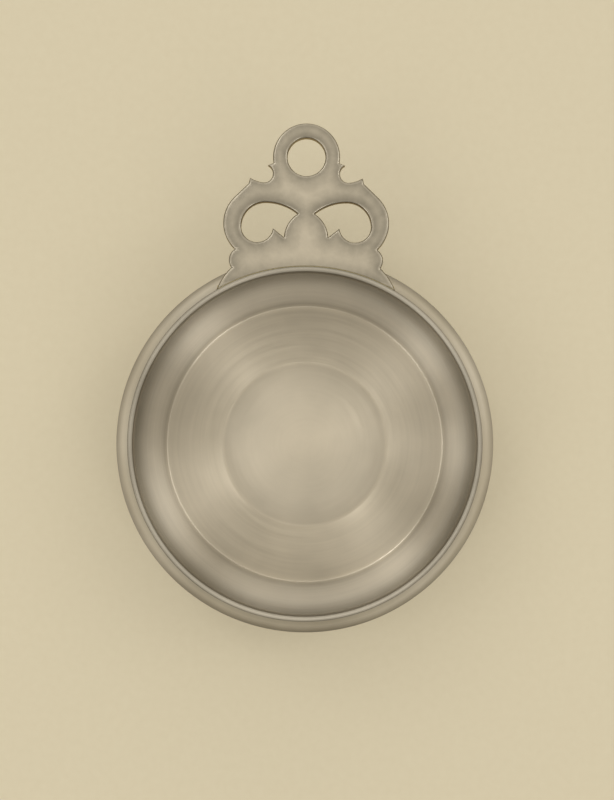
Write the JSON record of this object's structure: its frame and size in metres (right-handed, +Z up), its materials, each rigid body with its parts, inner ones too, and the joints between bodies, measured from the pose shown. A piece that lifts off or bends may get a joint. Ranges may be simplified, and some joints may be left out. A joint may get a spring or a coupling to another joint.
{
  "type": "porringer",
  "caption": "Round-bellied silver porringer: a low bowl with a domed floor, drawn-in neck and flat-topped lip, and a flat pierced handle with a hanging ring, soldered level with the rim.",
  "frame": {"origin": "middle of the whole object's footprint, on the table under it", "axes": "+Z up out of the bowl's mouth, +Y from the bowl towards the tip of the handle, +X to the right across the handle"},
  "size_m": [0.1336, 0.1746, 0.0476],
  "materials": {
    "bowl_silver": "raised and planished silver, softly burnished, light tarnish",
    "handle_silver": "cast silver, filed and scraped, softly burnished",
    "silver_solder": "hard silver solder, dull and slightly yellower than the silver"
  },
  "bodies": {
    "root": {"bowl": "bowl_silver", "handle": "handle_silver", "handle_solder": "silver_solder"}
  },
  "joints": []
}
